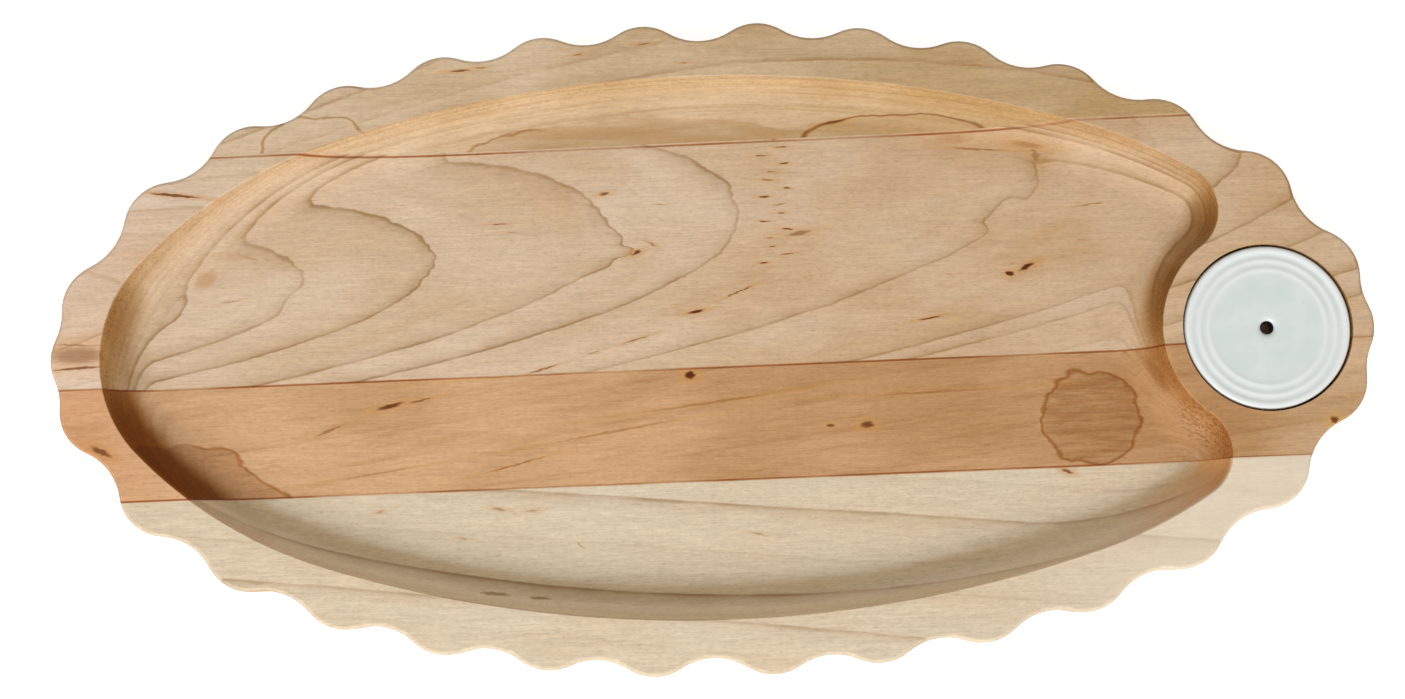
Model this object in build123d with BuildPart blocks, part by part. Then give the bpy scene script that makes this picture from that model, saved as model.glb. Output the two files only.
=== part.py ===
"""Scalloped oval serving board for chips and dip, in edge-glued maple, with a loose ceramic insert.

Millimetres. The underside lies at Z = 0, centred on X = Y = 0. +X runs along the board towards the
insert, +Y runs across the board to its back edge and +Z points up.
"""

import os
from math import cos, radians, sin, sqrt

from build123d import *

# --- Driving dimensions ------------------------------------------------------------------------

# The outline: thirty scallops that touch an oval, cut between valleys of a larger radius.
oval_length = 508.0
oval_width = 253.0
lobe_radius = 18.2
valley_radius = 22.9
lobes_per_quarter = 7  # besides the shallow lobe on each long end
end_lobe_pitch = 20.3  # along the oval, from the shallow end lobe to the first full one
middle_gap = 44.5  # across the middle of each long side, where the scallops stand wider apart

# The board and its staves, from the back edge to the front edge.
board_thickness = 19.0
edge_round = 1.6
back_stave_width = 44.8  # from the back of the oval to the first glue line
broad_stave_width = 90.0
narrow_stave_width = 43.9
glue_line_turn = 0.84  # degrees between the glue lines and the long axis

# The well for the chips, cut with a round-nosed cutter.
side_rim_width = 21.5  # from the oval to the well, along the sides
end_rim_width = 19.6  # and at the far end
well_depth = 12.5
side_flatness = 0.92  # radius of the well's long sides, over an ellipse's radius there
end_fullness = 1.13  # radius of the well's end, over an ellipse's radius there
shoulder_fullness = 1.1  # radius between side and end, over the mean of those two
cutter_radius = 18.0
horn_floor_radius = 1.1  # of the floor, where the well runs out on each side of the insert
lip_ease = 0.6

# The round insert and the bore that it stands in.
insert_diameter = 63.0
insert_thickness = 10.0
insert_gap = 0.6  # all round, between the insert and its bore
end_land = 8.4  # wood between the bore and the end of the oval
land_width = 7.6  # wood between the bore and the well
rim_round = 1.4
rim_crest_inset = 1.9
ring_pitch = 3.8
ring_count = 2  # raised rings inside the rim
ring_rise = 0.5
peg_hole_radius = 2.3
peg_hole_dish = 1.6
foot_ring_width = 6.0
foot_ring_height = 1.2

# --- Values that follow ------------------------------------------------------------------------

insert_radius = insert_diameter / 2
bore_radius = insert_radius + insert_gap
insert_x = oval_length / 2 - end_land - bore_radius
land_radius = bore_radius + land_width
bore_floor_z = board_thickness - insert_thickness
well_floor_z = board_thickness - well_depth

# The cutter's round nose meets the top face a little inside the cutter's full width.
nose_width = sqrt(cutter_radius**2 - (cutter_radius - well_depth) ** 2)
cutter_spread = cutter_radius - nose_width
horn_radius = nose_width + horn_floor_radius


def lobe_centres():
    """Centres of all the lobes, counter-clockwise from the end beside the insert."""
    quarter = EllipticalCenterArc(
        (0, 0),
        oval_length / 2 - lobe_radius,
        oval_width / 2 - lobe_radius,
        arc_size=90,
    )
    last = quarter.length - middle_gap / 2
    pitch = (last - end_lobe_pitch) / (lobes_per_quarter - 1)
    stations = [end_lobe_pitch + pitch * i for i in range(lobes_per_quarter)]
    first = [quarter.position_at(s, position_mode=PositionMode.LENGTH) for s in stations]
    end_lobe = quarter.position_at(0)
    back = [end_lobe] + first + [Vector(-p.X, p.Y) for p in reversed(first)]
    front = [Vector(-p.X, -p.Y) for p in back]
    return back + front


def valley_centre(lobe, next_lobe):
    """Centre of the valley arc that is tangent to two neighbouring lobes, outside the board."""
    chord = next_lobe - lobe
    outward = Vector(chord.Y, -chord.X).normalized()
    reach = lobe_radius + valley_radius
    return (lobe + next_lobe) / 2 + outward * sqrt(reach**2 - (chord.length / 2) ** 2)


def meeting_point(centre, radius, other_centre, other_radius):
    """The left-hand one of the two points where two circles meet, looking from the first centre."""
    line = other_centre - centre
    along = (line.length**2 + radius**2 - other_radius**2) / (2 * line.length)
    aside = sqrt(radius**2 - along**2)
    unit = line.normalized()
    return centre + unit * along + Vector(-unit.Y, unit.X) * aside


def glue_plane(offset):
    """Upright plane through a glue line; its normal points to the back of the board."""
    turn = radians(glue_line_turn)
    return Plane(
        origin=(0, offset, 0),
        x_dir=(cos(turn), sin(turn), 0),
        z_dir=(-sin(turn), cos(turn), 0),
    )


# --- The board, as the glued panel is cut before it is looked at stave by stave -------------------

lobes = lobe_centres()
valleys = [valley_centre(a, b) for a, b in zip(lobes, lobes[1:] + lobes[:1])]
lobe_share = lobe_radius / (lobe_radius + valley_radius)

with BuildPart() as panel:
    with BuildSketch():
        with BuildLine():
            for i in range(len(lobes)):
                lobe = lobes[i]
                next_lobe = lobes[(i + 1) % len(lobes)]
                arc_start = lobe + (valleys[i - 1] - lobe) * lobe_share
                arc_end = lobe + (valleys[i] - lobe) * lobe_share
                next_start = next_lobe + (valleys[i] - next_lobe) * lobe_share
                RadiusArc(arc_start, arc_end, -lobe_radius)
                RadiusArc(arc_end, next_start, valley_radius)
        make_face()
    extrude(amount=board_thickness)
    outer_rims = panel.edges().group_by(Axis.Z)
    fillet(outer_rims[0] + outer_rims[-1], edge_round)

# The rim of the well is an oval of tangent arcs. At the insert it turns back on itself in two horns
# and runs round the land of the bore. These are the centres of its arcs on the back half.
half_length = oval_length / 2 - end_rim_width
half_width = oval_width / 2 - side_rim_width
side_radius = side_flatness * half_length**2 / half_width
end_radius = end_fullness * half_width**2 / half_length
shoulder_radius = shoulder_fullness * sqrt(side_radius * end_radius)
side_centre = Vector(0, half_width - side_radius)
end_centre = Vector(half_length - end_radius, 0)
shoulder_centre = meeting_point(
    side_centre,
    side_radius - shoulder_radius,
    end_centre,
    shoulder_radius - end_radius,
)
insert_centre = Vector(insert_x, 0)
horn_centre = meeting_point(
    shoulder_centre,
    shoulder_radius - horn_radius,
    insert_centre,
    land_radius + horn_radius,
)


def rim_point(centre, radius, towards):
    """Point on one of the cutter's arcs, which stands outside the rim by the cutter's spread."""
    return centre + (towards - centre).normalized() * (radius + cutter_spread)


far_end = Vector(-half_length - cutter_spread, 0)
far_turn = rim_point(end_centre, end_radius, end_centre * 2 - shoulder_centre)
near_side = rim_point(side_centre, side_radius, shoulder_centre)
horn_start = rim_point(shoulder_centre, shoulder_radius, horn_centre)
horn_end = rim_point(horn_centre, horn_radius, insert_centre)
land_middle = Vector(insert_x - land_radius + cutter_spread, 0)

# All that the cutter sweeps, with its shank above the round nose.
with BuildPart() as well_cut:
    with BuildSketch(Plane.XY.offset(well_floor_z)):
        with BuildLine():
            turn_start = Vector(-far_turn.X, far_turn.Y)
            side_start = Vector(-near_side.X, near_side.Y)
            RadiusArc(far_end, turn_start, end_radius + cutter_spread)
            RadiusArc(turn_start, side_start, shoulder_radius + cutter_spread)
            RadiusArc(side_start, near_side, side_radius + cutter_spread)
            RadiusArc(near_side, horn_start, shoulder_radius + cutter_spread)
            RadiusArc(horn_start, horn_end, horn_radius + cutter_spread)
            RadiusArc(horn_end, land_middle, -(land_radius - cutter_spread))
            mirror(about=Plane.XZ)
        make_face()
    extrude(amount=cutter_radius + well_depth)
    fillet(well_cut.edges().group_by(Axis.Z)[0], cutter_radius)

with BuildPart() as board:
    add(panel.part)
    add(well_cut.part, mode=Mode.SUBTRACT)
    top_face = board.faces().filter_by(Axis.Z).sort_by(Axis.Z)[-1]
    fillet(top_face.inner_wires()[0].edges(), lip_ease)
    with BuildSketch(Plane.XY.offset(bore_floor_z)):
        with Locations((insert_x, 0)):
            Circle(bore_radius)
    extrude(amount=insert_thickness, mode=Mode.SUBTRACT)

# --- The four staves ---------------------------------------------------------------------------

back_glue_line = oval_width / 2 - back_stave_width
middle_glue_line = back_glue_line - broad_stave_width
front_glue_line = middle_glue_line - narrow_stave_width
back_plane = glue_plane(back_glue_line)
middle_plane = glue_plane(middle_glue_line)
front_plane = glue_plane(front_glue_line)

with BuildPart() as back_stave:
    add(board.part)
    split(bisect_by=back_plane, keep=Keep.TOP)

with BuildPart() as broad_stave:
    add(board.part)
    split(bisect_by=back_plane, keep=Keep.BOTTOM)
    split(bisect_by=middle_plane, keep=Keep.TOP)

with BuildPart() as narrow_stave:
    add(board.part)
    split(bisect_by=middle_plane, keep=Keep.BOTTOM)
    split(bisect_by=front_plane, keep=Keep.TOP)

with BuildPart() as front_stave:
    add(board.part)
    split(bisect_by=front_plane, keep=Keep.BOTTOM)

# --- The ceramic insert ------------------------------------------------------------------------

# Half section in the insert's own plane, turned about its axis. Rings and rim are one even
# ripple: each half wave is two tangent arcs, and the flat centre lies at the level of its troughs.
half_waves = 2 * ring_count + 1
half_pitch = ring_pitch / 2
crest_radius = insert_radius - rim_crest_inset
centre_flat_radius = crest_radius - half_waves * half_pitch
centre_z = board_thickness - ring_rise
hollow_z = bore_floor_z + foot_ring_height

with BuildPart() as ceramic_insert:
    with BuildSketch(Plane.XZ.offset(0).shift_origin((insert_x, 0, 0))):
        with BuildLine():
            dish = RadiusArc(
                (peg_hole_radius, centre_z - peg_hole_dish),
                (peg_hole_radius + peg_hole_dish, centre_z),
                peg_hole_dish,
            )
            wave = Line(dish @ 1, (centre_flat_radius, centre_z))
            for i in range(half_waves):
                rise = ring_rise / 2 if i % 2 == 0 else -ring_rise / 2
                start = wave @ 1
                bend = TangentArc(start, start + Vector(half_pitch / 2, rise), tangent=(1, 0))
                wave = TangentArc(bend @ 1, bend @ 1 + Vector(half_pitch / 2, rise), tangent=bend % 1)
            crest = Line(wave @ 1, (insert_radius - rim_round, board_thickness))
            Polyline(
                crest @ 1,
                (insert_radius, board_thickness),
                (insert_radius, bore_floor_z),
                (insert_radius - foot_ring_width, bore_floor_z),
                (insert_radius - foot_ring_width, hollow_z),
                (peg_hole_radius, hollow_z),
                dish @ 0,
            )
        make_face()
    revolve(axis=Axis((insert_x, 0, 0), (0, 0, 1)))
    rings = ceramic_insert.edges().filter_by(GeomType.CIRCLE)
    rim_edge = rings.filter_by(lambda e: abs(e.radius - insert_radius) < 0.01)
    fillet(rim_edge.group_by(Axis.Z)[-1], rim_round)

# --- Names and files ---------------------------------------------------------------------------

back_stave.part.label = "back_stave"
broad_stave.part.label = "broad_stave"
narrow_stave.part.label = "narrow_stave"
front_stave.part.label = "front_stave"
ceramic_insert.part.label = "ceramic_insert"

os.makedirs("parts", exist_ok=True)
for piece in (back_stave, broad_stave, narrow_stave, front_stave, ceramic_insert):
    export_step(piece.part, f"parts/{piece.part.label}.step")
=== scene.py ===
from math import pi, radians, sin, tan

import bpy
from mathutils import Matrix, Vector


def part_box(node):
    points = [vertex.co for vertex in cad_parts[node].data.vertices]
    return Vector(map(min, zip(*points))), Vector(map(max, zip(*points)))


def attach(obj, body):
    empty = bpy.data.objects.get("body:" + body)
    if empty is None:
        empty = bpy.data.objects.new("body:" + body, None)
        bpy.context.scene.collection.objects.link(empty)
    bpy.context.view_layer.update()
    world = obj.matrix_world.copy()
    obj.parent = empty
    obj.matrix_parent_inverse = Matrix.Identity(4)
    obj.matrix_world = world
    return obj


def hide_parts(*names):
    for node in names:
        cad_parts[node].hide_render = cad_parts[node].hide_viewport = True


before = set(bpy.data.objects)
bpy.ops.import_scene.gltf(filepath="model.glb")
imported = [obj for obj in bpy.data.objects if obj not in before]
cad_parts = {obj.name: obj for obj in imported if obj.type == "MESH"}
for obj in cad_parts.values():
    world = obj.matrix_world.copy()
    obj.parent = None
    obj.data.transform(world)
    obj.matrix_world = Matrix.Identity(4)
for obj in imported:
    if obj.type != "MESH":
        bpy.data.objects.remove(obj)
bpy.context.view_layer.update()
bpy.ops.object.select_all(action="DESELECT")


# --- Camera -------------------------------------------------------------------------------------
# It looks almost straight down on the board, from a little in front of it and from the height of
# a raised arm, so that the well's front wall hides nothing.

camera_data = bpy.data.cameras.new("camera")
camera_data.lens = 47.7
camera_data.sensor_width = 36.0
camera = bpy.data.objects.new("camera", camera_data)
camera.location = (0.01566, -0.09763, 0.72476)
camera.rotation_euler = (radians(7.621), radians(1.584), radians(-1.360))
bpy.context.collection.objects.link(camera)
bpy.context.scene.camera = camera
bpy.context.scene.view_settings.view_transform = "Standard"


# --- Back stave ---------------------------------------------------------------------------------
# The first of four hard maple boards that are edge-glued and then cut to the scalloped outline.
# Light tan sapwood, planed flat on top, with the well's back wall routed into its front half.

MILLIMETRES = 1000.0
TOP_OF_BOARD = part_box("back_stave")[1][2] * MILLIMETRES
LAYER_TAPER = 33.0   # millimetres along the board in which a growth layer sinks by one


def add_node(tree, kind, feeds, **options):
    """Add a node; a socket in feeds is linked to its input, and a number is typed in."""
    node = tree.nodes.new("ShaderNode" + kind)
    for option, choice in options.items():
        setattr(node, option, choice)
    for socket, feed in feeds.items():
        if isinstance(feed, bpy.types.NodeSocket):
            tree.links.new(feed, node.inputs[socket])
        else:
            node.inputs[socket].default_value = feed
    return node


def sums(tree, operation, *feeds):
    """One step of arithmetic on numbers, by its output socket."""
    return add_node(tree, "Math", dict(enumerate(feeds)), operation=operation).outputs[0]


def vector_sums(tree, operation, *feeds):
    """One step of arithmetic on vectors, by its output socket."""
    node = add_node(tree, "VectorMath", dict(enumerate(feeds)), operation=operation)
    return node.outputs["Value" if operation == "LENGTH" else "Vector"]


def axes(tree, vector):
    """A vector's three parts, by name."""
    return add_node(tree, "SeparateXYZ", {0: vector}).outputs


def fade(tree, value, start, end, at_start=0.0, at_end=1.0):
    """A soft step from one value to another, by its output socket."""
    feeds = {"Value": value, "From Min": start, "From Max": end, "To Min": at_start, "To Max": at_end}
    return add_node(tree, "MapRange", feeds, interpolation_type="SMOOTHSTEP").outputs[0]


def cloud(tree, position, reach, detail=2.0, roughness=0.5):
    """Smooth noise whose patches are as long as reach says along each axis, by its output socket."""
    stretched = vector_sums(tree, "DIVIDE", position, reach)
    feeds = {"Vector": stretched, "Scale": 1.0, "Detail": detail, "Roughness": roughness}
    return add_node(tree, "TexNoise", feeds).outputs["Fac"]


def blend(tree, share, first, second, how="MIX"):
    """Two colours in one, by its output socket."""
    node = add_node(tree, "Mix", {}, data_type="RGBA", blend_type=how)
    for socket, feed in (("Factor_Float", share), ("A_Color", first), ("B_Color", second)):
        target = next(one for one in node.inputs if one.identifier == socket)
        if isinstance(feed, bpy.types.NodeSocket):
            tree.links.new(feed, target)
        else:
            target.default_value = feed
    return next(one for one in node.outputs if one.identifier == "Result_Color")


def soak(tree, share, color, dye):
    """A colour darkened through a dye, richer than a plain mix, by its output socket."""
    return blend(tree, share, blend(tree, share, color, dye, "MULTIPLY"), dye, "MULTIPLY")


def new_group(name, inputs, outputs):
    """A shader node group with named sockets: its tree, its inputs, and what it puts out."""
    group = bpy.data.node_groups.new(name, "ShaderNodeTree")
    for direction, sockets in (("INPUT", inputs), ("OUTPUT", outputs)):
        for label, kind in sockets.items():
            group.interface.new_socket(label, in_out=direction, socket_type="NodeSocket" + kind)
    given = group.nodes.new("NodeGroupInput").outputs
    result = group.nodes.new("NodeGroupOutput").inputs
    return group, given, result


def use_group(tree, group, feeds):
    """Place a node group in a material, by its output sockets."""
    node = tree.nodes.new("ShaderNodeGroup")
    node.node_tree = group
    for socket, feed in feeds.items():
        if isinstance(feed, bpy.types.NodeSocket):
            tree.links.new(feed, node.inputs[socket])
        else:
            node.inputs[socket].default_value = feed
    return node.outputs


def make_growth_layers():
    """The tree's yearly layers as a field through the stave, and how close they lie on its face.

    Seen from above, a layer is an arch around the stave's heart line, which drifts sideways."""
    group, given, result = new_group(
        "growth_layers",
        {"Position": "Vector", "Normal": "Vector", "Forward": "Float", "Bow": "Float",
         "Bow Centre": "Float", "Heart": "Float", "Drift": "Float", "Reach": "Float",
         "Spread": "Float"},
        {"Layer": "Float", "Closeness": "Float"})
    place = axes(group, given["Position"])
    bowed = sums(group, "SUBTRACT", place["X"], given["Bow Centre"])
    bowed = sums(group, "MULTIPLY", sums(group, "MULTIPLY", bowed, bowed), given["Bow"])
    along = sums(group, "SUBTRACT", sums(group, "MULTIPLY", place["X"], given["Forward"]), bowed)
    arch = along
    for closer_each_time in range(3):
        heart = sums(group, "MULTIPLY_ADD", arch, given["Drift"], given["Heart"])
        aside = sums(group, "SUBTRACT", place["Y"], heart)
        reach = sums(group, "MULTIPLY_ADD", arch, given["Spread"], given["Reach"])
        reach = sums(group, "MAXIMUM", reach, 8.0)
        sag = sums(group, "DIVIDE", sums(group, "MULTIPLY", aside, aside), reach)
        arch = sums(group, "ADD", along, sag)
    layer = sums(group, "SUBTRACT", sums(group, "DIVIDE", arch, LAYER_TAPER), place["Z"])
    layer = sums(group, "ADD", layer, TOP_OF_BOARD)
    unevenness = (((110.0, 34.0, 34.0), 0.5), ((17.0, 11.0, 11.0), 0.16), ((4.6, 3.4, 3.4), 0.12))
    for patch, height in unevenness:
        wander = sums(group, "SUBTRACT", cloud(group, given["Position"], patch), 0.5)
        layer = sums(group, "MULTIPLY_ADD", wander, height, layer)
    across = sums(group, "DIVIDE", sums(group, "MULTIPLY", aside, 2.0 / LAYER_TAPER), reach)
    rise = add_node(group, "CombineXYZ", {"X": 1.0 / LAYER_TAPER, "Y": across, "Z": -1.0}).outputs[0]
    on_face = vector_sums(group, "CROSS_PRODUCT", rise, given["Normal"])
    close = sums(group, "MAXIMUM", vector_sums(group, "LENGTH", on_face), 0.03)
    group.links.new(layer, result["Layer"])
    group.links.new(close, result["Closeness"])
    return group


def make_growth_line():
    """The thin dark line that ends a year's layer: crisp on one side, with a glow on the other."""
    group, given, result = new_group(
        "growth_line",
        {"Position": "Vector", "Since": "Float", "Until": "Float", "Since Strength": "Float",
         "Until Strength": "Float", "Closeness": "Float", "Width": "Float"},
        {"Line": "Float", "Glow": "Float"})
    since = sums(group, "DIVIDE", given["Since"], given["Closeness"])
    until = sums(group, "DIVIDE", given["Until"], given["Closeness"])
    wide = sums(group, "MULTIPLY", given["Width"], 2.6)
    crisp = fade(group, since, 0.0, given["Width"], 1.0, 0.0)
    crisp = sums(group, "MULTIPLY", crisp, given["Since Strength"])
    soft = fade(group, until, 0.0, wide, 1.0, 0.0)
    soft = sums(group, "MULTIPLY", soft, given["Until Strength"])
    uneven = fade(group, cloud(group, given["Position"], (30.0, 14.0, 14.0)), 0.36, 0.64, 0.45, 1.0)
    line = sums(group, "MULTIPLY", sums(group, "MAXIMUM", crisp, soft), uneven)
    glow_width = sums(group, "MULTIPLY", given["Width"], 16.0)
    glow = fade(group, until, 0.0, glow_width, 1.0, 0.0)
    glow = sums(group, "MULTIPLY", sums(group, "MULTIPLY", glow, glow), uneven)
    glow = sums(group, "MULTIPLY", glow, given["Until Strength"])
    group.links.new(line, result["Line"])
    group.links.new(glow, result["Glow"])
    return group


def make_fleck():
    """One small dark mark in the wood, long along its own turned axis, and the warm halo round it."""
    group, given, result = new_group(
        "fleck",
        {"X": "Float", "Y": "Float", "Depth": "Float", "Place X": "Float", "Place Y": "Float",
         "Half Length": "Float", "Half Width": "Float", "Turn": "Float", "Strength": "Float"},
        {"Mark": "Float", "Halo": "Float"})
    aside = sums(group, "SUBTRACT", given["X"], given["Place X"])
    ahead = sums(group, "SUBTRACT", given["Y"], given["Place Y"])
    cosine = sums(group, "COSINE", given["Turn"])
    sine = sums(group, "SINE", given["Turn"])
    along = sums(group, "MULTIPLY_ADD", aside, cosine, sums(group, "MULTIPLY", ahead, sine))
    along = sums(group, "DIVIDE", along, given["Half Length"])
    across = sums(group, "SUBTRACT", sums(group, "MULTIPLY", ahead, cosine),
                  sums(group, "MULTIPLY", aside, sine))
    across = sums(group, "DIVIDE", across, given["Half Width"])
    away = sums(group, "MULTIPLY_ADD", along, along, given["Depth"])
    away = sums(group, "MULTIPLY_ADD", across, across, away)
    mark = sums(group, "MULTIPLY", fade(group, away, 1.35, 0.10), given["Strength"])
    halo = sums(group, "MULTIPLY", fade(group, away, 7.0, 0.5), given["Strength"])
    group.links.new(mark, result["Mark"])
    group.links.new(halo, result["Halo"])
    return group


def make_maple_surface():
    """Planed and oiled hard maple: cloudy colour, fine fibres, short pores, darker end grain, and painted
    shade on the well's walls and on the board's outer edges.
    """
    group, given, result = new_group(
        "maple_surface",
        {"Position": "Vector", "Normal": "Vector", "Layer": "Float", "Pale": "Color", "Warm": "Color",
         "Line Colour": "Color", "Band": "Float", "Line": "Float", "Glow": "Float", "Streaks": "Float",
         "Darker End": "Float"},
        {"Color": "Color", "Roughness": "Float", "Height": "Float"})
    position = given["Position"]
    place = axes(group, position)
    facing = axes(group, given["Normal"])
    clouds = fade(group, cloud(group, position, (62.0, 26.0, 26.0)), 0.34, 0.66)
    darker_end = fade(group, place["X"], -240.0, 240.0, -0.5, 0.75)
    darker_end = sums(group, "MULTIPLY", darker_end, given["Darker End"])
    warmth = sums(group, "MULTIPLY_ADD", given["Band"], 0.30, darker_end)
    warmth = sums(group, "MULTIPLY_ADD", clouds, 0.42, warmth)
    along_layers = add_node(group, "CombineXYZ", {"X": place["X"], "Y": given["Layer"], "Z": 0.0}).outputs[0]
    streak = fade(group, cloud(group, along_layers, (46.0, 0.9, 1.0), 5.0, 0.65), 0.46, 0.74, -0.2, 1.0)
    warmth = sums(group, "MULTIPLY_ADD", streak, given["Streaks"], warmth)
    color = blend(group, warmth, given["Pale"], given["Warm"])
    outward = sums(group, "MULTIPLY", facing["X"], place["X"])
    outward = sums(group, "MULTIPLY_ADD", facing["Y"], place["Y"], outward)
    tilted = fade(group, facing["Z"], 0.97, 0.45)
    slope = sums(group, "MULTIPLY", tilted, fade(group, outward, -1.0, -12.0))
    # Painted shade: the well's walls are darkened and warmed towards orange, as by light bounced about the
    # well.
    color = blend(group, slope, color, (1.0, 0.92, 0.79, 1.0), "MULTIPLY")
    # Painted shade: the board's outer sides and rounded edges are darkened where the lamp lights them.
    edge_shade = sums(group, "MULTIPLY", tilted, fade(group, outward, 1.0, 12.0))
    color = blend(group, edge_shade, color, (0.80, 0.78, 0.80, 1.0), "MULTIPLY")
    end_grain = fade(group, sums(group, "ABSOLUTE", facing["X"]), 0.40, 0.95)
    color = blend(group, end_grain, color, (0.74, 0.58, 0.36, 1.0), "MULTIPLY")
    fine = cloud(group, position, (11.0, 0.6, 0.6), 2.0)
    broad = cloud(group, position, (42.0, 3.4, 3.4), 3.0, 0.6)
    mottle = cloud(group, position, (3.0, 1.6, 1.6), 3.0, 0.75)
    value = sums(group, "MULTIPLY_ADD", sums(group, "SUBTRACT", fine, 0.5), 0.38, 1.0)
    value = sums(group, "MULTIPLY_ADD", sums(group, "SUBTRACT", broad, 0.5), 0.20, value)
    value = sums(group, "MULTIPLY_ADD", sums(group, "SUBTRACT", mottle, 0.5), 0.40, value)
    pores = fade(group, cloud(group, position, (2.2, 0.34, 0.34), 1.0), 0.60, 0.74)
    value = sums(group, "MULTIPLY_ADD", pores, -0.18, value)
    chatter = fade(group, cloud(group, position, (0.7, 1.3, 1.3), 2.0), 0.50, 0.70)
    near_lip = sums(group, "MULTIPLY", slope, fade(group, facing["Z"], 0.85, 0.45))
    torn = sums(group, "MULTIPLY_ADD", near_lip, 0.55, sums(group, "MULTIPLY", end_grain, 0.5))
    torn = sums(group, "MULTIPLY", chatter, torn)
    value = sums(group, "MULTIPLY_ADD", torn, -0.26, value)
    sliced = cloud(group, along_layers, (140.0, 0.7, 1.0), 3.0, 0.7)
    sliced = sums(group, "MULTIPLY", sums(group, "SUBTRACT", sliced, 0.5), slope)
    value = sums(group, "MULTIPLY_ADD", sliced, 0.62, value)
    gray = add_node(group, "CombineColor", {0: value, 1: value, 2: value}).outputs[0]
    color = blend(group, 1.0, color, gray, "MULTIPLY")
    color = blend(group, sums(group, "MULTIPLY", given["Glow"], 0.34), color, given["Line Colour"])
    drawn = sums(group, "MULTIPLY", given["Line"], fade(group, slope, 0.3, 1.0, 0.70, 0.40))
    color = blend(group, drawn, color, given["Line Colour"])
    rough = sums(group, "MULTIPLY_ADD", fine, 0.16, 0.42)
    rough = sums(group, "MULTIPLY_ADD", end_grain, 0.12, rough)
    height = sums(group, "MULTIPLY_ADD", pores, -0.6, fine)
    height = sums(group, "MULTIPLY_ADD", torn, -2.0, height)
    group.links.new(color, result["Color"])
    group.links.new(rough, result["Roughness"])
    group.links.new(height, result["Height"])
    return group


growth_layers = make_growth_layers()
growth_line = make_growth_line()
fleck = make_fleck()
maple_surface = make_maple_surface()


def linear(red, green, blue):
    """A colour given as it is mixed on a screen, 0 to 255, as the shader wants it."""
    def channel(value):
        share = value / 255.0
        return share / 12.92 if share <= 0.04045 else ((share + 0.055) / 1.055) ** 2.4
    return channel(red), channel(green), channel(blue), 1.0


def shake(tree, position, patch, reach, detail, roughness):
    """The position, moved about by noise, so that what is drawn with it gets a wandering edge."""
    feeds = {"Scale": 1.0, "Detail": detail, "Roughness": roughness}
    feeds["Vector"] = vector_sums(tree, "DIVIDE", position, patch)
    noise = add_node(tree, "TexNoise", feeds).outputs["Color"]
    noise = vector_sums(tree, "SUBTRACT", noise, (0.5, 0.5, 0.5))
    return vector_sums(tree, "ADD", position, vector_sums(tree, "MULTIPLY", noise, reach))


def ragged(tree, position):
    """The position, shaken as finely as torn fibres are."""
    return shake(tree, position, (3.2, 1.1, 1.1), (3.0, 1.0, 1.0), 2.0, 0.5)


def flecks(tree, shaken, marks, level, depth=2.5):
    """Marks near one face, each given as x, y, length, width, tilt in degrees and strength."""
    place = axes(tree, shaken)
    below = sums(tree, "DIVIDE", sums(tree, "SUBTRACT", place["Z"], level), depth)
    below = sums(tree, "MULTIPLY", below, below)
    marked, haloed = 0.0, 0.0
    for x, y, length, width, tilt, strength in marks:
        one = use_group(tree, fleck, {
            "X": place["X"], "Y": place["Y"], "Depth": below, "Place X": x, "Place Y": y,
            "Half Length": length / 2, "Half Width": width / 2, "Turn": radians(tilt),
            "Strength": strength})
        marked = sums(tree, "MAXIMUM", one["Mark"], marked)
        haloed = sums(tree, "MAXIMUM", one["Halo"], haloed)
    return marked, haloed


def glue_lines(tree, position, lines):
    """A thin dark seam beside each glue joint, each given by where it crosses the board's middle."""
    place = axes(tree, position)
    mask = 0.0
    for middle in lines:
        joint = sums(tree, "MULTIPLY_ADD", place["X"], GLUE_RISE, middle)
        gap = sums(tree, "ABSOLUTE", sums(tree, "SUBTRACT", place["Y"], joint))
        mask = sums(tree, "MAXIMUM", fade(tree, gap, 0.6, 0.15), mask)
    uneven = fade(tree, cloud(tree, position, (50.0, 50.0, 50.0)), 0.38, 0.6, 0.35, 0.9)
    return sums(tree, "MULTIPLY", mask, uneven)


def layer_ends(tree, layer, edges):
    """The last layer's end and the next one's, and how dark each is, at every point of the wood."""
    pairs = [(*edge, *following) for edge, following in zip(edges, edges[1:])]
    held = list(pairs[0])
    for before, pair in zip(pairs, pairs[1:]):
        passed = sums(tree, "GREATER_THAN", layer, pair[0])
        for one in range(4):
            held[one] = sums(tree, "MULTIPLY_ADD", passed, pair[one] - before[one], held[one])
    return held


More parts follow.
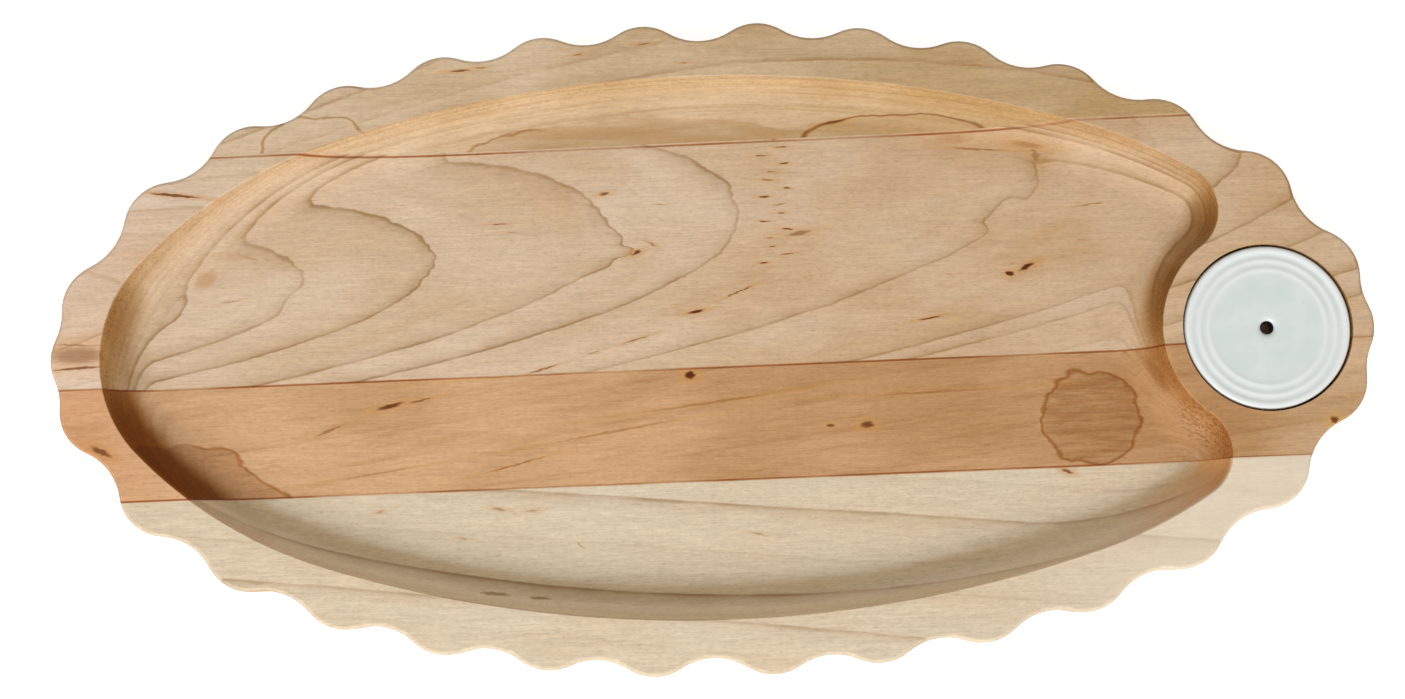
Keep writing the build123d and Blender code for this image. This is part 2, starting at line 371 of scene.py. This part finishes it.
def maple(node, growth, edges, pale, warm, line, mark, streaks, darker_end, marks_on_floor,
          marks_on_rim, wall_shade_and_marks, pulls, joints):
    """The maple of one stave, put on it: its node tree, position in millimetres, shader and colour."""
    material = bpy.data.materials.new(node + "_maple")
    material.use_nodes = True
    tree = material.node_tree
    texture = tree.nodes.new("ShaderNodeTexCoord").outputs
    position = vector_sums(tree, "MULTIPLY", texture["Object"], (MILLIMETRES,) * 3)
    shaken = ragged(tree, position)
    pulled = position
    for *spot, shift in pulls:
        _, near_spot = flecks(tree, position, ((*spot, 1.0),), HALF_WAY_DOWN, 30.0)
        aside = add_node(tree, "CombineXYZ", {"X": sums(tree, "MULTIPLY", near_spot, shift)}).outputs[0]
        pulled = vector_sums(tree, "ADD", pulled, aside)
    layers = use_group(tree, growth_layers, {"Position": pulled, "Normal": texture["Normal"], **growth})
    last, last_strength, coming, coming_strength = layer_ends(tree, layers["Layer"], edges)
    since = sums(tree, "SUBTRACT", layers["Layer"], last)
    until = sums(tree, "SUBTRACT", coming, layers["Layer"])
    lines = use_group(tree, growth_line, {
        "Position": position, "Since": since, "Until": until, "Since Strength": last_strength,
        "Until Strength": coming_strength, "Closeness": layers["Closeness"], "Width": LINE_WIDTH})
    band = add_node(tree, "TexWhiteNoise", {"W": last}, noise_dimensions="1D").outputs["Value"]
    surface = use_group(tree, maple_surface, {
        "Position": position, "Normal": texture["Normal"], "Layer": layers["Layer"], "Pale": pale,
        "Warm": warm, "Line Colour": line, "Band": band, "Line": lines["Line"], "Glow": lines["Glow"],
        "Streaks": streaks, "Darker End": darker_end})
    color = surface["Color"]
    upward = axes(tree, texture["Normal"])["Z"]
    # Painted shade on patches of the well's walls near its ends, with a few small dark marks, all through one
    # dye.
    painted_shade_and_marks = sums(tree, "MULTIPLY", flecks(tree, shaken, wall_shade_and_marks, HALF_WAY_DOWN, 14.0)[0],
                 fade(tree, upward, 1.0, 0.78))
    color = soak(tree, painted_shade_and_marks, color, SHADE_AND_MARK_DYE)
    for marks, level in ((marks_on_floor, FLOOR_OF_WELL), (marks_on_rim, TOP_OF_BOARD)):
        marked, haloed = flecks(tree, shaken, marks, level)
        color = blend(tree, sums(tree, "MULTIPLY", haloed, HALO_SHARE), color, HALO)
        color = soak(tree, sums(tree, "MULTIPLY", marked, marked), color, mark)
    color = soak(tree, glue_lines(tree, position, joints), color, GLUE_SEAM)
    skin = tree.nodes["Principled BSDF"]
    bump = add_node(tree, "Bump", {"Height": surface["Height"], "Strength": 0.35, "Distance": 0.00012})
    tree.links.new(color, skin.inputs["Base Color"])
    tree.links.new(surface["Roughness"], skin.inputs["Roughness"])
    tree.links.new(bump.outputs[0], skin.inputs["Normal"])
    skin.inputs["Specular IOR Level"].default_value = 0.18
    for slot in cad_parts[node].material_slots:
        slot.material = material
    return tree, position, skin, color


def finish_colour(tree, skin, color):
    """Give the shader a stave's colour again, after something more was painted on it."""
    tree.links.new(color, skin.inputs["Base Color"])


def stain(tree, position, place, half_size, wobble, patch=(11.0, 8.0, 8.0), thick=1.1):
    """An oval stain, by its inside and its darker outline, both with a wandering edge."""
    moved = shake(tree, position, patch, (wobble,) * 3, 4.0, 0.4)
    from_middle = vector_sums(tree, "DIVIDE", vector_sums(tree, "SUBTRACT", moved, place), half_size)
    away = vector_sums(tree, "LENGTH", from_middle)
    inside = fade(tree, away, 1.01, 0.97)
    from_edge = sums(tree, "ABSOLUTE", sums(tree, "SUBTRACT", away, 1.0))
    outline = fade(tree, from_edge, thick / half_size[1], 0.0)
    return inside, outline


FLOOR_OF_WELL = 6.5
HALF_WAY_DOWN = 13.0
HALO = linear(198, 140, 66)
HALO_SHARE = 0.45
LINE_WIDTH = 0.62   # of a growth line, in millimetres on the face of the wood
GLUE_SEAM = (0.70, 0.46, 0.28, 1.0)
# Dye for the painted shade on the well's walls near its ends, and for small dark marks.
SHADE_AND_MARK_DYE = (0.58, 0.40, 0.10, 1.0)
GLUE_RISE = tan(radians(0.84))   # the glue lines climb a little towards the insert's end


def upper_glue_line(node):
    """Where the glue line behind a stave crosses the board's middle, in millimetres."""
    far_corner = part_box(node)[1]
    return (far_corner[1] - far_corner[0] * GLUE_RISE) * MILLIMETRES


OLD_WATER = linear(172, 126, 70)
WATER_EDGE = (0.70, 0.54, 0.34, 1.0)

tree, position, skin, color = maple(
    node="back_stave",
    growth={
        "Forward": 0.0, "Bow": 0.004, "Bow Centre": 40.0, "Heart": 150.0, "Drift": 0.0, "Reach": 25.0,
        "Spread": 0.0},
    edges=(
        (-12.0, 0.3), (-5.0, 0.2), (-3.6, 0.9), (-2.1, 0.2), (-0.9, 0.6), (0.8, 0.2), (1.9, 0.8),
        (3.4, 0.1), (4.4, 0.5), (6.3, 0.1), (7.9, 0.3), (9.2, 0.1), (10.8, 0.35), (12.1, 0.1), (14.3, 0.3),
        (15.2, 0.1), (17.0, 0.2), (19.0, 0.1), (22.0, 0.1)),
    pale=linear(208, 182, 150), warm=linear(182, 149, 103), line=linear(146, 100, 44),
    mark=(0.50, 0.32, 0.16, 1.0), streaks=0.30, darker_end=0.72,
    marks_on_floor=(
        (52.0, 88.0, 12.0, 1.3, 8.0, 0.75), (40.0, 83.0, 5.0, 0.8, 60.0, 0.4)),
    marks_on_rim=(
        (-94.0, 110.0, 9.0, 1.1, 2.0, 0.85), (-86.0, 111.0, 6.0, 0.8, 2.0, 0.7),
        (-48.0, 115.0, 5.0, 0.8, 5.0, 0.6), (-22.0, 118.5, 7.0, 0.8, 4.0, 0.7),
        (-6.0, 110.5, 4.0, 0.7, 0.0, 0.6), (106.0, 106.0, 9.0, 0.5, 0.0, 0.5)),
    wall_shade_and_marks=(),
    pulls=(),
    joints=(upper_glue_line("broad_stave"),))
far_inside, _ = stain(tree, position, (-21.0, 76.0, 8.0), (76.0, 16.0, 9.0), 5.0)
soft_edge = fade(tree, cloud(tree, position, (60.0, 7.0, 7.0), 3.0), 0.30, 0.62)
far_inside = sums(tree, "MULTIPLY", far_inside, soft_edge)
_, far_outline = stain(tree, position, (-62.0, 76.0, 8.0), (35.0, 12.0, 9.0), 5.0, thick=0.6)
away_from_middle = fade(tree, axes(tree, position)["X"], -52.0, -76.0)
far_outline = sums(tree, "MULTIPLY", far_outline, away_from_middle)
near_inside, near_outline = stain(tree, position, (75.0, 81.5, 8.0), (36.0, 8.5, 9.0), 3.0, thick=0.55)
_, rim_outline = stain(tree, position, (-150.0, 78.0, 19.0), (23.0, 15.5, 12.0), 7.0, thick=0.9)
place = axes(tree, position)
beside_well = fade(tree, place["X"], -140.0, -146.0)
beside_well = sums(tree, "MAXIMUM", beside_well, fade(tree, place["Y"], 85.0, 88.0))
rim_outline = sums(tree, "MULTIPLY", rim_outline, beside_well)
far_shade = sums(tree, "MULTIPLY", far_inside, 0.55)
shade = sums(tree, "MAXIMUM", far_shade, sums(tree, "MULTIPLY", near_inside, 0.25))
color = blend(tree, shade, color, OLD_WATER)
outline = sums(tree, "MULTIPLY", far_outline, 0.6)
outline = sums(tree, "MAXIMUM", outline, sums(tree, "MULTIPLY", near_outline, 0.9))
outline = sums(tree, "MAXIMUM", outline, sums(tree, "MULTIPLY", rim_outline, 0.6))
finish_colour(tree, skin, soak(tree, outline, color, WATER_EDGE))


# --- Broad stave --------------------------------------------------------------------------------
# The widest of the four boards: creamy maple sapwood, sawn flat, so that its growth layers run out
# as long arches. It is glued between the back and narrow staves, with most of the insert's bore.

WARM_SPOT = linear(186, 128, 62)
PALER_LEFT_RIM = (1.09, 1.09, 1.17, 1.0)
insect_trails = tuple(
    (28.0 + 5.0 * sin(2.4 * step), 82.0 - 3.3 * step, 3.6 + step % 3, 0.6 + 0.2 * (step % 2),
     5.0 * sin(step), 0.62 + 0.1 * (step % 4))
    for step in range(16))


def rim_towards_end(tree, position, start, end, share=1.0):
    """How much a point lies on the flat rim and towards one end of the board."""
    place = axes(tree, position)
    on_rim = fade(tree, place["Z"], 17.0, 18.9, 0.0, share)
    return sums(tree, "MULTIPLY", fade(tree, place["X"], start, end), on_rim)


tree, position, skin, color = maple(
    node="broad_stave",
    growth={
        "Forward": 1.0, "Bow": 0.0, "Bow Centre": 0.0, "Heart": 50.0, "Drift": 0.13, "Reach": 24.0,
        "Spread": 0.06},
    edges=(
        (-14.0, 0.3), (-8.0, 0.3), (-6.7, 0.5), (-5.2, 0.1), (-3.9, 0.3), (-2.0, 0.2), (-0.6, 0.4),
        (0.9, 0.1), (2.4, 0.3), (3.7, 0.25), (5.2, 0.3), (6.35, 0.95), (7.71, 1.0), (9.23, 1.0),
        (11.40, 0.9), (12.95, 1.0), (16.44, 0.9), (20.5, 0.7), (21.4, 0.7), (23.6, 0.3), (25.1, 0.3),
        (27.5, 0.2), (30.0, 0.2), (34.0, 0.2)),
    pale=linear(211, 186, 158), warm=linear(194, 158, 118), line=linear(142, 102, 44),
    mark=(0.42, 0.24, 0.12, 1.0), streaks=0.24, darker_end=0.42,
    marks_on_floor=(
        (-27.0, 38.0, 5.0, 2.0, 20.0, 0.9), (-21.0, 41.5, 5.0, 1.0, -30.0, 0.6),
        (-179.0, 40.0, 6.0, 0.7, -20.0, 0.4), (-187.0, 23.0, 9.0, 0.6, 8.0, 0.5),
        (-81.0, 51.0, 8.0, 0.6, 0.0, 0.7), (-76.0, 47.5, 6.0, 0.6, 0.0, 0.5),
        (-39.0, 62.0, 5.0, 1.6, 10.0, 0.8), (-17.0, 57.0, 4.0, 0.5, 0.0, 0.6),
        (37.0, 44.0, 11.0, 2.2, 8.0, 0.66), (13.0, 21.5, 14.0, 0.8, 22.0, 0.8),
        (-4.0, 14.0, 8.0, 1.4, 8.0, 1.0), (-28.0, 3.5, 12.0, 0.9, 16.0, 0.7),
        (-64.0, -7.0, 14.0, 0.9, 16.0, 0.7), (-44.0, -1.0, 6.0, 0.7, 16.0, 0.5),
        (87.0, 9.0, 10.0, 0.9, 10.0, 0.9), (125.0, 28.0, 8.0, 2.2, 26.0, 1.0),
        (118.5, 25.5, 3.5, 2.4, 0.0, 1.0), (150.0, 52.0, 16.0, 0.5, 6.0, 0.6),
        (148.0, 38.0, 8.0, 0.4, 0.0, 0.4), (96.0, 26.0, 6.0, 0.4, 0.0, 0.4),
        (128.0, 76.5, 18.0, 3.0, -10.0, 0.58), (130.5, 72.5, 3.0, 6.0, 20.0, 0.55),
        (108.0, 75.5, 26.0, 1.0, -5.0, 0.6), (98.0, 80.0, 14.0, 4.5, -8.0, 0.34)) + insect_trails,
    marks_on_rim=(
        (-206.0, 63.5, 24.0, 1.3, -7.0, 0.88), (-243.0, 1.5, 26.0, 8.0, 0.0, 0.60),
        (-243.0, -3.5, 24.0, 1.2, 3.0, 0.8), (-243.0, 5.5, 20.0, 0.8, -3.0, 0.6)),
    # Patches of painted shade on the well's walls at both ends.
    wall_shade_and_marks=(
        (188.0, 38.0, 36.0, 20.0, 60.0, 0.48), (178.0, 12.0, 44.0, 20.0, 84.0, 0.50),
        (-222.0, 6.0, 22.0, 54.0, 12.0, 0.45)),
    pulls=(
        (-36.0, 38.0, 20.0, 9.0, 0.0, -6.0), (-30.0, 38.5, 20.0, 2.0, 0.0, -5.0),
        (112.0, 52.0, 12.0, 10.0, 0.0, 9.0), (104.0, 43.0, 8.0, 3.0, 0.0, -5.0),
        (-152.0, 22.0, 14.0, 5.0, 0.0, 5.0)),
    joints=(upper_glue_line("broad_stave"), upper_glue_line("narrow_stave")))
warm_spots = (
    (-197.0, 32.0, 5.0, 3.6, 30.0, 1.0), (-187.0, 41.0, 9.0, 1.6, -8.0, 0.6),
    (-173.0, 57.0, 20.0, 2.6, 34.0, 0.5), (-143.0, 70.0, 26.0, 2.8, 26.0, 0.6),
    (-205.0, 44.0, 12.0, 2.4, 50.0, 0.4), (126.0, 76.0, 9.0, 2.4, -10.0, 0.7),
    (98.0, 80.0, 8.0, 2.4, -8.0, 0.5))
_, warm_glow = flecks(tree, ragged(tree, position), warm_spots, FLOOR_OF_WELL, 4.0)
warm_glow = sums(tree, "MULTIPLY", warm_glow, warm_glow)
color = blend(tree, sums(tree, "MULTIPLY", warm_glow, 0.46), color, WARM_SPOT)
left_rim = rim_towards_end(tree, position, -190.0, -235.0)
finish_colour(tree, skin, blend(tree, left_rim, color, PALER_LEFT_RIM, "MULTIPLY"))


# --- Narrow stave -------------------------------------------------------------------------------
# Hard maple from nearer the tree's heart: redder, streaky, with small knots. It is glued between
# its neighbours, and water has left a round stain on it and another in the well's corner.

SOAKED_WOOD = (0.74, 0.60, 0.42, 1.0)
SOAKED_EDGE = (0.76, 0.60, 0.38, 1.0)
TORN_GRAIN = (0.62, 0.44, 0.26, 1.0)
REDDER_LEFT_RIM = (0.98, 0.89, 0.85, 1.0)
PALER_RIGHT_RIM = (1.12, 1.30, 1.58, 1.0)

tree, position, skin, color = maple(
    node="narrow_stave",
    growth={
        "Forward": 1.0, "Bow": 0.0, "Bow Centre": 0.0, "Heart": 130.0, "Drift": 0.0, "Reach": 45.0,
        "Spread": 0.0},
    edges=(
        (4.0, 0.1), (8.2, 0.15), (11.1, 0.2), (14.5, 0.1), (18.1, 0.25), (21.9, 0.1), (25.6, 0.3),
        (28.4, 0.1), (32.2, 0.3), (36.2, 0.1), (38.0, 0.1), (42.0, 0.1)),
    pale=linear(208, 165, 123), warm=linear(175, 130, 84), line=linear(150, 96, 42),
    mark=(0.42, 0.24, 0.12, 1.0), streaks=0.34, darker_end=0.50,
    marks_on_floor=(
        (-124.0, -20.0, 13.0, 2.0, 14.0, 0.9), (-112.0, -18.0, 12.0, 1.0, 12.0, 0.7),
        (-148.0, -29.0, 14.0, 1.2, 22.0, 0.6), (-7.0, -11.0, 5.0, 3.6, 0.0, 1.0),
        (47.0, -32.0, 4.0, 1.6, 0.0, 0.8), (61.0, -32.0, 6.0, 3.0, 0.0, 0.85),
        (-60.0, -8.0, 60.0, 1.2, 4.0, 0.72), (-75.0, -44.0, 30.0, 0.8, 14.0, 0.6),
        (-22.0, -5.0, 44.0, 0.9, 2.0, 0.7), (0.0, -22.0, 60.0, 1.4, 7.0, 0.5),
        (-36.0, -32.0, 56.0, 1.2, 9.0, 0.5), (-128.0, -46.0, 40.0, 1.0, 8.0, 0.45),
        (88.0, -20.0, 60.0, 1.2, 2.0, 0.45)),
    marks_on_rim=(
        (-233.0, -36.0, 11.0, 2.6, -25.0, 0.8), (236.0, -36.0, 4.0, 3.2, 0.0, 0.9)),
    # Painted shade on the well's walls near its ends.
    wall_shade_and_marks=(
        (-208.0, -36.0, 84.0, 40.0, -50.0, 0.96), (172.0, -16.0, 18.0, 4.0, -62.0, 0.25)),
    pulls=(),
    joints=(upper_glue_line("narrow_stave"), upper_glue_line("front_stave")))
round_inside, round_outline = stain(tree, position, (147.0, -31.5, 6.5), (19.0, 18.5, 5.0), 9.0)
corner_inside, corner_outline = stain(tree, position, (-214.0, -66.0, 6.5), (51.0, 34.0, 30.0), 22.0,
                                       (24.0, 13.0, 13.0))
place = axes(tree, position)
under_lip = fade(tree, place["Z"], 18.4, 16.5)
corner_inside = sums(tree, "MULTIPLY", corner_inside, under_lip)
corner_outline = sums(tree, "MULTIPLY", corner_outline, under_lip)
off_the_wall = fade(tree, place["X"], -208.0, -198.0)
corner_outline = sums(tree, "MULTIPLY", corner_outline, off_the_wall)
soaked = fade(tree, cloud(tree, position, (16.0, 2.2, 2.2), 4.0, 0.65), 0.40, 0.62, 0.12, 0.44)
shade = sums(tree, "MULTIPLY", round_inside, soaked)
shade = sums(tree, "MAXIMUM", shade, sums(tree, "MULTIPLY", corner_inside, 0.40))
color = soak(tree, shade, color, SOAKED_WOOD)
outline = sums(tree, "MULTIPLY", sums(tree, "MAXIMUM", round_outline, corner_outline), 0.8)
left_rim = rim_towards_end(tree, position, -190.0, -235.0)
color = blend(tree, left_rim, color, REDDER_LEFT_RIM, "MULTIPLY")
right_rim = rim_towards_end(tree, position, 196.0, 232.0)
color = blend(tree, right_rim, color, PALER_RIGHT_RIM, "MULTIPLY")
_, horn = flecks(tree, position, ((190.0, -36.0, 13.0, 8.0, -50.0, 1.0),), HALF_WAY_DOWN, 6.0)
torn_grain = fade(tree, cloud(tree, position, (1.8, 1.0, 0.7), 3.0, 0.6), 0.46, 0.64, 0.0, 0.48)
torn_grain = sums(tree, "MULTIPLY", torn_grain, fade(tree, place["Z"], 18.9, 18.0))
color = soak(tree, sums(tree, "MULTIPLY", horn, torn_grain), color, TORN_GRAIN)
finish_colour(tree, skin, soak(tree, outline, color, SOAKED_EDGE))


# --- Front stave --------------------------------------------------------------------------------
# The palest board, straight-grained maple sapwood, glued on in front, with the well's front wall
# routed into it. That wall has painted shade at its foot and beside the insert, and a painted highlight.

# Colours of the painted shadow, painted highlight and warm painted shade on the well's front wall.
WALL_FOOT_SHADE = (0.92, 0.88, 0.80, 1.0)
LIT_WALL = linear(244, 220, 190)
WARM_WALL_SHADE = linear(202, 130, 48)
PALE_RIM = linear(226, 211, 188)

tree, position, skin, color = maple(
    node="front_stave",
    growth={
        "Forward": 1.0, "Bow": 0.0, "Bow Centre": 0.0, "Heart": -260.0, "Drift": 0.0, "Reach": 34.0,
        "Spread": 0.0},
    edges=(
        (5.0, 0.1), (11.0, 0.3), (14.5, 0.1), (18.4, 0.1), (21.5, 0.6), (26.4, 0.25), (30.5, 0.1),
        (34.6, 1.0), (41.7, 0.15), (47.95, 0.85), (53.0, 0.2), (60.0, 0.2)),
    pale=linear(211, 194, 167), warm=linear(206, 183, 152), line=linear(148, 108, 66),
    mark=(0.46, 0.32, 0.18, 1.0), streaks=0.22, darker_end=-0.02,
    marks_on_floor=(
        (-128.0, -61.0, 5.0, 1.2, 10.0, 0.5), (-82.0, -61.0, 7.0, 1.4, -10.0, 0.6),
        (-69.0, -62.0, 6.0, 1.2, 5.0, 0.5), (137.0, -52.0, 5.0, 1.8, -20.0, 0.85),
        (18.0, -73.0, 6.0, 0.8, -12.0, 0.55), (-51.0, -75.5, 3.5, 0.6, -40.0, 0.6),
        (-96.0, -72.0, 5.0, 0.8, -8.0, 0.5)),
    marks_on_rim=((202.0, -62.0, 4.0, 0.8, 0.0, 0.4),),
    # Painted shade on the well's walls at both ends, then two thin dark marks.
    wall_shade_and_marks=(
        (-186.0, -62.0, 50.0, 20.0, -35.0, 0.20), (200.0, -48.0, 40.0, 20.0, 38.0, 0.15),
        (-83.0, -93.5, 12.0, 1.4, -6.0, 0.9), (-66.0, -95.5, 9.0, 1.2, -6.0, 0.8)),
    pulls=(),
    joints=(upper_glue_line("front_stave"),))
facing = axes(tree, tree.nodes.new("ShaderNodeTexCoord").outputs["Normal"])
into_well = fade(tree, facing["Y"], 0.0, 0.10)
# Painted shadow: the front wall's foot, where it bends into the floor, is darkened.
wall_foot_shadow = fade(tree, facing["Z"], 1.0, 0.95)
wall_foot_shadow = sums(tree, "MULTIPLY", wall_foot_shadow, fade(tree, facing["Z"], 0.60, 0.95))
wall_foot_shadow = sums(tree, "MULTIPLY", wall_foot_shadow, into_well)
color = soak(tree, wall_foot_shadow, color, WALL_FOOT_SHADE)
# Painted highlight: the steeper upper part of the front wall is lightened.
painted_light_on_wall = sums(tree, "MULTIPLY", fade(tree, facing["Z"], 0.95, 0.60, 0.0, 0.26), into_well)
color = blend(tree, painted_light_on_wall, color, LIT_WALL)
# Painted shade, warmed as by bounced light: the front wall towards the insert is turned orange-brown.
warm_shade_near_tip = fade(tree, axes(tree, position)["X"], 145.0, 208.0)
warm_shade_near_tip = sums(tree, "MULTIPLY", warm_shade_near_tip, fade(tree, facing["Z"], 0.99, 0.85, 0.0, 0.70))
warm_shade_near_tip = sums(tree, "MULTIPLY", warm_shade_near_tip, into_well)
color = blend(tree, warm_shade_near_tip, color, WARM_WALL_SHADE)
right_rim = rim_towards_end(tree, position, 110.0, 190.0, 0.55)
finish_colour(tree, skin, blend(tree, right_rim, color, PALE_RIM))


# --- Ceramic insert -----------------------------------------------------------------------------
# A loose disc, thrown on a wheel and dipped in a clear white glaze: a rounded rim, two low rings,
# a peg hole with a softly dished edge, and an unglazed foot that keeps it off the wood.

INSERT_LOW, INSERT_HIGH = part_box("ceramic_insert")
insert_x = (INSERT_LOW[0] + INSERT_HIGH[0]) / 2
insert_y = (INSERT_LOW[1] + INSERT_HIGH[1]) / 2
INSERT_TURNS = 96
INSERT_PROFILE = (   # radius and height of the clay's half section, from under the hole to its edge
    (2.3, 1.2), (14.0, 1.2), (25.3, 1.2), (25.7, 0.9), (26.0, 0.1), (26.4, 0.0), (30.4, 0.0), (31.1, 0.3),
    (31.45, 1.1), (31.45, 5.0), (31.45, 8.4), (31.2, 9.3), (30.6, 9.85), (29.7, 9.98), (28.9, 9.85),
    (28.2, 9.53), (27.5, 9.47), (26.8, 9.55), (25.9, 9.86), (25.0, 9.58), (24.2, 9.46), (23.3, 9.55),
    (22.3, 9.84), (21.4, 9.58), (20.5, 9.48), (16.0, 9.47), (10.0, 9.46), (6.0, 9.45), (4.4, 9.38),
    (3.4, 9.12), (2.7, 8.6), (2.35, 7.8), (2.3, 6.0), (2.3, 3.0))


def turn_insert():
    """The disc as a mesh, spun from its half section as on a wheel."""
    bpy.ops.mesh.primitive_plane_add(size=0.001, location=(insert_x, insert_y, INSERT_LOW[2]))
    disc = bpy.context.object
    bpy.ops.object.transform_apply(location=True, rotation=True, scale=True)
    bpy.ops.object.mode_set(mode="EDIT")
    bpy.ops.mesh.merge(type="CENTER")
    last = (0.0, 0.0)
    for point in INSERT_PROFILE:
        step = ((point[0] - last[0]) / MILLIMETRES, 0.0, (point[1] - last[1]) / MILLIMETRES)
        if last == (0.0, 0.0):
            bpy.ops.transform.translate(value=step)
        else:
            bpy.ops.mesh.extrude_region_move(TRANSFORM_OT_translate={"value": step})
        last = point
    bpy.ops.mesh.select_all(action="SELECT")
    bpy.ops.mesh.spin(steps=INSERT_TURNS, angle=2 * pi, center=(insert_x, insert_y, 0.0), axis=(0, 0, 1))
    bpy.ops.mesh.select_all(action="SELECT")
    bpy.ops.mesh.remove_doubles(threshold=0.00001)
    bpy.ops.mesh.select_mode(type="EDGE")
    bpy.ops.mesh.select_all(action="DESELECT")
    bpy.ops.mesh.select_non_manifold()
    bpy.ops.mesh.bridge_edge_loops()
    bpy.ops.mesh.select_all(action="SELECT")
    bpy.ops.mesh.normals_make_consistent(inside=False)
    bpy.ops.object.mode_set(mode="OBJECT")
    return disc


disc = turn_insert()
disc.name = "glazed_disc"
smooth = disc.modifiers.new("smooth", "SUBSURF")
smooth.levels = 1
smooth.render_levels = 1
hand_thrown = bpy.data.textures.new("hand_thrown", "CLOUDS")
hand_thrown.noise_scale = 0.012   # metres from one finger mark to the next
uneven = disc.modifiers.new("uneven", "DISPLACE")
uneven.texture = hand_thrown
uneven.strength = 0.00012
for modifier in ("smooth", "uneven"):
    bpy.ops.object.modifier_apply(modifier=modifier)
bpy.ops.object.shade_smooth()

THIN_GLAZE = linear(224, 227, 223)
POOLED_GLAZE = linear(208, 216, 212)
IRON_SPECK = linear(150, 140, 126)
BARE_CLAY = linear(206, 192, 170)
HOLE_SHADE_COLOUR = linear(14, 12, 10)

glaze = bpy.data.materials.new("white_glaze")
glaze.use_nodes = True
tree = glaze.node_tree
texture = tree.nodes.new("ShaderNodeTexCoord").outputs
centred = vector_sums(tree, "SUBTRACT", texture["Object"], (insert_x, insert_y, INSERT_LOW[2]))
centred = vector_sums(tree, "MULTIPLY", centred, (MILLIMETRES,) * 3)
place = axes(tree, centred)
radius = vector_sums(tree, "LENGTH", vector_sums(tree, "MULTIPLY", centred, (1.0, 1.0, 0.0)))
pooled = fade(tree, place["Z"], 9.85, 9.45)
pooled = sums(tree, "MULTIPLY", pooled, fade(tree, cloud(tree, centred, (9.0, 9.0, 9.0)), 0.3, 0.7, 0.6, 1.0))
color = blend(tree, pooled, THIN_GLAZE, POOLED_GLAZE)
specks = fade(tree, cloud(tree, centred, (0.8, 0.8, 0.8), 1.0), 0.80, 0.84)
color = blend(tree, specks, color, IRON_SPECK)
bare = fade(tree, place["Z"], 0.55, 0.30)
color = blend(tree, bare, color, BARE_CLAY)
# Painted shade: the peg hole's wall is coloured nearly black, as a deep hole looks.
hole_shade = sums(tree, "MULTIPLY", fade(tree, radius, 2.62, 2.5), fade(tree, place["Z"], 8.9, 8.5))
color = blend(tree, hole_shade, color, HOLE_SHADE_COLOUR)
rough = sums(tree, "MAXIMUM", sums(tree, "MULTIPLY", bare, 0.8), fade(tree, specks, 0.0, 1.0, 0.13, 0.5))
orange_peel = cloud(tree, centred, (2.6, 2.6, 2.6), 1.0)
bump = add_node(tree, "Bump", {"Height": orange_peel, "Strength": 0.12, "Distance": 0.0002})
skin = tree.nodes["Principled BSDF"]
tree.links.new(color, skin.inputs["Base Color"])
tree.links.new(rough, skin.inputs["Roughness"])
tree.links.new(bump.outputs[0], skin.inputs["Normal"])
disc.data.materials.append(glaze)
disc.select_set(False)
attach(disc, "insert")
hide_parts("ceramic_insert")


# --- Table and light ----------------------------------------------------------------------------
# A plain white table, which isn't part of the object, under a large soft light that stands in front
# of the board and a pale surrounding.

TABLE_WIDTH = 60.0

bpy.ops.mesh.primitive_plane_add(size=TABLE_WIDTH)
table = bpy.context.object
table.name = "table"
table_top = bpy.data.materials.new("white_table")
table_top.use_nodes = True
table_skin = table_top.node_tree.nodes["Principled BSDF"]
table_skin.inputs["Base Color"].default_value = (0.92, 0.92, 0.92, 1.0)
table_skin.inputs["Roughness"].default_value = 0.9
table_skin.inputs["Emission Color"].default_value = (1.0, 1.0, 1.0, 1.0)
table_skin.inputs["Emission Strength"].default_value = 0.55
table.data.materials.append(table_top)

world = bpy.data.worlds.new("world")
world.use_nodes = True
world.node_tree.nodes["Background"].inputs["Color"].default_value = (1.0, 1.0, 1.0, 1.0)
world.node_tree.nodes["Background"].inputs["Strength"].default_value = 0.62
bpy.context.scene.world = world


def soft_box(name, place, width, depth, power):
    """A rectangular lamp that faces the board's middle."""
    lamp = bpy.data.lights.new(name, "AREA")
    lamp.shape = "RECTANGLE"
    lamp.size = width
    lamp.size_y = depth
    lamp.energy = power
    stand = bpy.data.objects.new(name, lamp)
    stand.location = place
    stand.rotation_euler = (-Vector(place)).to_track_quat("-Z", "Y").to_euler()
    bpy.context.collection.objects.link(stand)


soft_box("key", (-0.40, -1.58, 1.12), 1.2, 0.9, 33.0)
